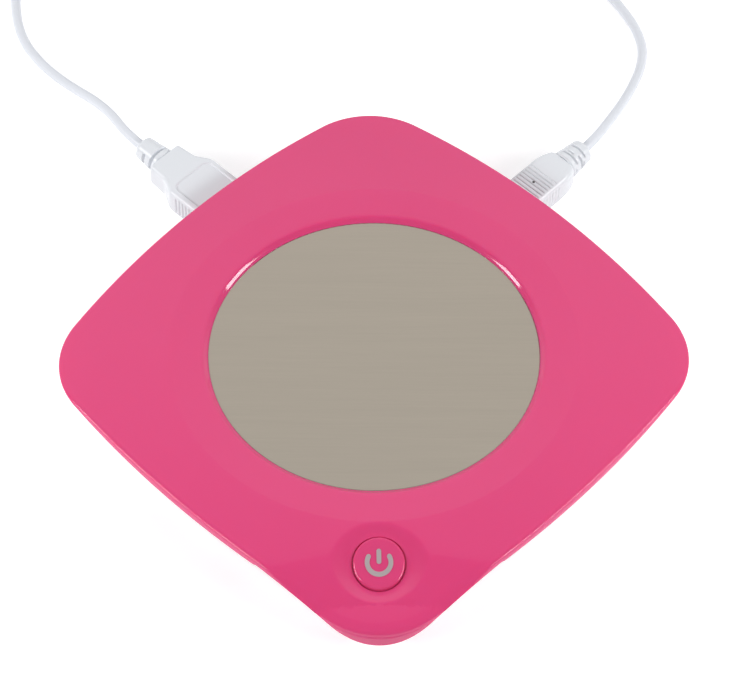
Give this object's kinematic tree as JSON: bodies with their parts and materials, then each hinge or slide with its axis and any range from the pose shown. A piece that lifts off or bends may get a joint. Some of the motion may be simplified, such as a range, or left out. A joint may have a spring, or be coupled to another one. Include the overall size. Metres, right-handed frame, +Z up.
{
  "type": "electric mug warmer",
  "caption": "Flat square desk mug warmer with a glossy crowned cover, a round steel heating plate, a sloped corner with a push button, and cable sockets in its sides.",
  "frame": {"origin": "on the table, under the middle of the cover", "axes": "+Z up; sides face +X, +Y, -X and -Y; the sloped button corner points to -X -Y"},
  "size_m": [0.2051, 0.2454, 0.0185],
  "materials": {
    "cover_plastic": "moulded, high gloss",
    "plate_steel": "fine brushed, satin",
    "button_plastic": "moulded, high gloss",
    "symbol_print": "silver print",
    "plug_plastic": "moulded, satin",
    "cord_sheath": "soft sheath",
    "tie_plastic": "soft strap",
    "tray_plastic": "fine texture",
    "foot_rubber": "soft",
    "seal_rubber": "silicone",
    "film_plastic": "smooth film",
    "track_metal": "etched foil",
    "pad_felt": "pressed fibre",
    "clamp_steel": "rolled sheet",
    "screw_steel": "plated",
    "cutout_case": "moulded",
    "board_laminate": "lacquered",
    "chip_case": "moulded",
    "can_metal": "drawn",
    "socket_metal": "plated",
    "socket_plastic": "moulded",
    "insert_plastic": "moulded",
    "lead_sheath": "soft sheath"
  },
  "bodies": {
    "housing": {"top_cover": "cover_plastic", "heating_plate": "plate_steel", "a_plug_body": "plug_plastic", "mini_plug_body": "plug_plastic", "cord_left": "cord_sheath", "cord_right": "cord_sheath", "cord_coil": "cord_sheath", "cord_tie": "tie_plastic", "base_shell": "tray_plastic", "foot_front": "foot_rubber", "foot_rear": "foot_rubber", "foot_left": "foot_rubber", "foot_right": "foot_rubber", "plate_seal": "seal_rubber", "heater_film": "film_plastic", "heater_track": "track_metal", "insulation_pad": "pad_felt", "clamp_plate": "clamp_steel", "cutout_strap": "clamp_steel", "housing_screws": "screw_steel", "board_screws": "screw_steel", "clamp_screws": "screw_steel", "thermal_cutout": "cutout_case", "circuit_board": "board_laminate", "hub_chip": "chip_case", "switch_housing": "chip_case", "clock_crystal": "can_metal", "capacitors": "can_metal", "socket_shell_1": "socket_metal", "socket_shell_2": "socket_metal", "socket_shell_3": "socket_metal", "socket_shell_4": "socket_metal", "mini_socket_shell": "socket_metal", "a_plug_shell": "socket_metal", "mini_plug_shell": "socket_metal", "socket_tongue_1": "socket_plastic", "socket_tongue_2": "socket_plastic", "socket_tongue_3": "socket_plastic", "socket_tongue_4": "socket_plastic", "mini_socket_tongue": "socket_plastic", "a_plug_tongue": "insert_plastic", "mini_plug_insert": "insert_plastic", "heater_leads": "lead_sheath"},
    "button": {"power_button": "button_plastic", "power_symbol": "symbol_print", "switch_plunger": "insert_plastic"}
  },
  "joints": [
    {"name": "button_press", "type": "slide", "parent": "housing", "child": "button", "axis": [0, 0, 1], "range_m": [-0.0018, 0], "stiffness_N_per_m": 300, "springref_m": 0.001}
  ]
}
